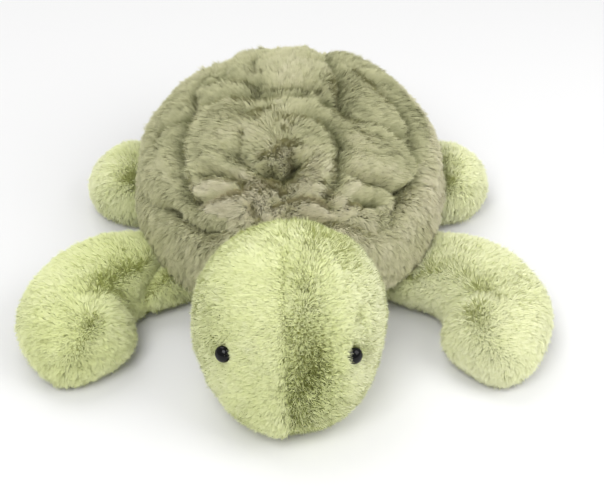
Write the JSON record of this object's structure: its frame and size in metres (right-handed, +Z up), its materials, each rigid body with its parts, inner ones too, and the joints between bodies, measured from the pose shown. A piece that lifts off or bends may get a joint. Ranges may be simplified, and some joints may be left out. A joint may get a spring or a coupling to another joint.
{
  "type": "plush turtle",
  "caption": "Soft stuffed turtle lying on its belly, with a quilted long-pile shell, round head, spread paddle flippers and a small tail.",
  "frame": {"origin": "middle of the outline seen from above, on the floor that the belly lies on", "axes": "+Z up, -Y towards the face, +X towards the toy's own left side"},
  "size_m": [0.3436, 0.3744, 0.1047],
  "materials": {
    "long_pile": "long polyester pile, 15 mm, brushed",
    "short_pile": "polyester pile, 8 to 10 mm, brushed",
    "fill": "white polyester fibre fill",
    "pouch_cloth": "plain woven cloth filled with plastic pellets",
    "eye_plastic": "polished black",
    "washer_plastic": "plain moulded"
  },
  "bodies": {
    "body": {"shell_cover": "long_pile", "shell_rim": "long_pile", "belly_panel": "short_pile", "body_stuffing": "fill", "pellet_pouch": "pouch_cloth"},
    "head": {"head_panel_left": "short_pile", "head_panel_right": "short_pile", "chin_gusset": "short_pile", "head_stuffing": "fill", "eye_left": "eye_plastic", "eye_right": "eye_plastic", "eye_washer_left": "washer_plastic", "eye_washer_right": "washer_plastic"},
    "front_left_flipper": {"front_left_flipper_top": "short_pile", "front_left_flipper_underside": "short_pile", "front_left_flipper_stuffing": "fill"},
    "front_right_flipper": {"front_right_flipper_top": "short_pile", "front_right_flipper_underside": "short_pile", "front_right_flipper_stuffing": "fill"},
    "rear_left_flipper": {"rear_left_flipper_top": "short_pile", "rear_left_flipper_underside": "short_pile", "rear_left_flipper_stuffing": "fill"},
    "rear_right_flipper": {"rear_right_flipper_top": "short_pile", "rear_right_flipper_underside": "short_pile", "rear_right_flipper_stuffing": "fill"},
    "tail": {"tail_skin": "short_pile", "tail_stuffing": "fill"}
  },
  "joints": [
    {"name": "head_lift", "type": "hinge", "parent": "body", "child": "head", "pos_m": [0, -0.09323, 0.058], "axis": [-1, 0, 0], "range_deg": [0, 15]},
    {"name": "front_left_lift", "type": "hinge", "parent": "body", "child": "front_left_flipper", "pos_m": [0.07679, -0.02521, 0.024], "axis": [-0.452, -0.892, 0], "range_deg": [0, 18]},
    {"name": "front_right_lift", "type": "hinge", "parent": "body", "child": "front_right_flipper", "pos_m": [-0.07679, -0.02521, 0.024], "axis": [-0.452, 0.892, 0], "range_deg": [0, 18]},
    {"name": "rear_left_lift", "type": "hinge", "parent": "body", "child": "rear_left_flipper", "pos_m": [0.08942, 0.05912, 0.024], "axis": [0.155, -0.9879, 0], "range_deg": [0, 18]},
    {"name": "rear_right_lift", "type": "hinge", "parent": "body", "child": "rear_right_flipper", "pos_m": [-0.08942, 0.05912, 0.024], "axis": [0.155, 0.9879, 0], "range_deg": [0, 18]},
    {"name": "tail_lift", "type": "hinge", "parent": "body", "child": "tail", "pos_m": [0, 0.15182, 0.024], "axis": [1, 0, 0], "range_deg": [0, 20]}
  ]
}
